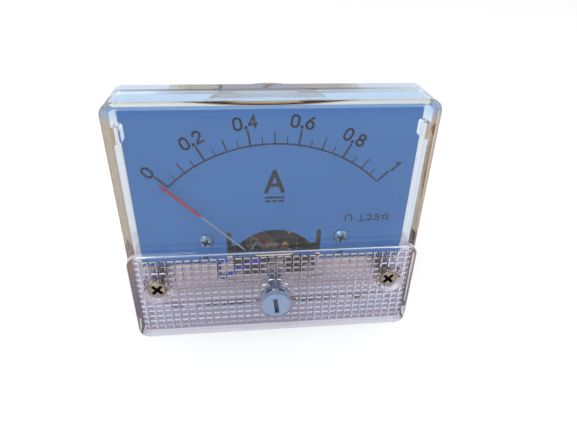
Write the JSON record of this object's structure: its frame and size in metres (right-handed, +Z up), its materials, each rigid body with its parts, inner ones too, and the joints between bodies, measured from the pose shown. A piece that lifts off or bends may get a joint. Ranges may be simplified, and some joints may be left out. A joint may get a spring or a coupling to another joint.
{
  "type": "analog panel meter",
  "caption": "Clear-cased moving-coil panel ammeter with a round rear barrel, printed dial, swinging pointer and a zero-adjust screw in a ribbed lower strip.",
  "frame": {"origin": "centre of the flange's rear face, on the barrel's axis, where the flange seats on the panel", "axes": "+Y along the barrel, away from the viewer and through the panel; the face looks along -Y; +Z up the dial; +X to the right seen from the front"},
  "size_m": [0.064, 0.0549, 0.056],
  "materials": {
    "clear_plastic": "clear, glossy",
    "nickel_steel": "nickel plated",
    "white_plastic": "semi-gloss",
    "dial_white": "satin white paint",
    "dial_ink": "dark blue printing ink",
    "brass": "machined",
    "olive_iron": "dark olive plating over soft iron",
    "magnet": "ground",
    "aluminium": "thin strip",
    "copper_wire": "enamelled wire",
    "pointer_red": "thin wire, blade painted red",
    "shunt_strip": "resistance alloy",
    "blue_wire": "insulated lead",
    "red_wire": "insulated lead"
  },
  "bodies": {
    "housing": {"rear_case": "clear_plastic", "front_cover": "clear_plastic", "cover_screw_left": "nickel_steel", "cover_screw_right": "nickel_steel", "dial_plate": "dial_white", "scale_marks": "dial_ink", "dial_screw_left": "nickel_steel", "dial_screw_right": "nickel_steel", "dial_post_left": "brass", "dial_post_right": "brass", "movement_frame": "olive_iron", "frame_screw_left": "nickel_steel", "frame_screw_right": "nickel_steel", "iron_ring": "olive_iron", "magnet_core": "magnet", "core_pin": "brass", "front_bridge": "olive_iron", "bridge_screw_left": "nickel_steel", "bridge_screw_right": "nickel_steel", "front_jewel": "nickel_steel", "front_jewel_nut": "nickel_steel", "rear_bridge": "olive_iron", "rear_jewel": "nickel_steel", "rear_jewel_nut": "nickel_steel", "stop_pin_left": "nickel_steel", "stop_pin_right": "nickel_steel", "rear_hairspring": "brass", "spring_tag": "nickel_steel", "terminal_left": "brass", "terminal_right": "brass", "terminal_nut_left": "brass", "terminal_nut_right": "brass", "terminal_washer_left": "nickel_steel", "terminal_washer_right": "nickel_steel", "terminal_tag_left": "nickel_steel", "terminal_tag_right": "nickel_steel", "shunt": "shunt_strip", "blue_lead": "blue_wire", "red_lead": "red_wire"},
    "zero_adjuster": {"zero_adjuster": "white_plastic"},
    "zero_lever": {"zero_lever": "nickel_steel", "front_hairspring": "brass"},
    "moving_coil": {"coil_former": "aluminium", "coil_winding": "copper_wire", "front_staff": "nickel_steel", "rear_staff": "nickel_steel", "pointer": "pointer_red", "balance_weights": "brass"}
  },
  "joints": [
    {"name": "adjuster_turn", "type": "hinge", "parent": "housing", "child": "zero_adjuster", "pos_m": [0, -0.0133, -0.0187], "axis": [0, 1, 0], "range_deg": [-30, 30]},
    {"name": "zero_shift", "type": "hinge", "parent": "housing", "child": "zero_lever", "pos_m": [0, -0.0072, -0.0129], "axis": [0, 1, 0], "range_deg": [-4.6, 4.6]},
    {"name": "pointer_swing", "type": "hinge", "parent": "zero_lever", "child": "moving_coil", "pos_m": [0, -0.0029, -0.0129], "axis": [0, 1, 0], "range_deg": [-3, 93], "stiffness_Nm_per_rad": 0.00002}
  ],
  "couplings": [
    {"joint": "zero_shift", "follows": "adjuster_turn", "ratio": -0.152}
  ]
}
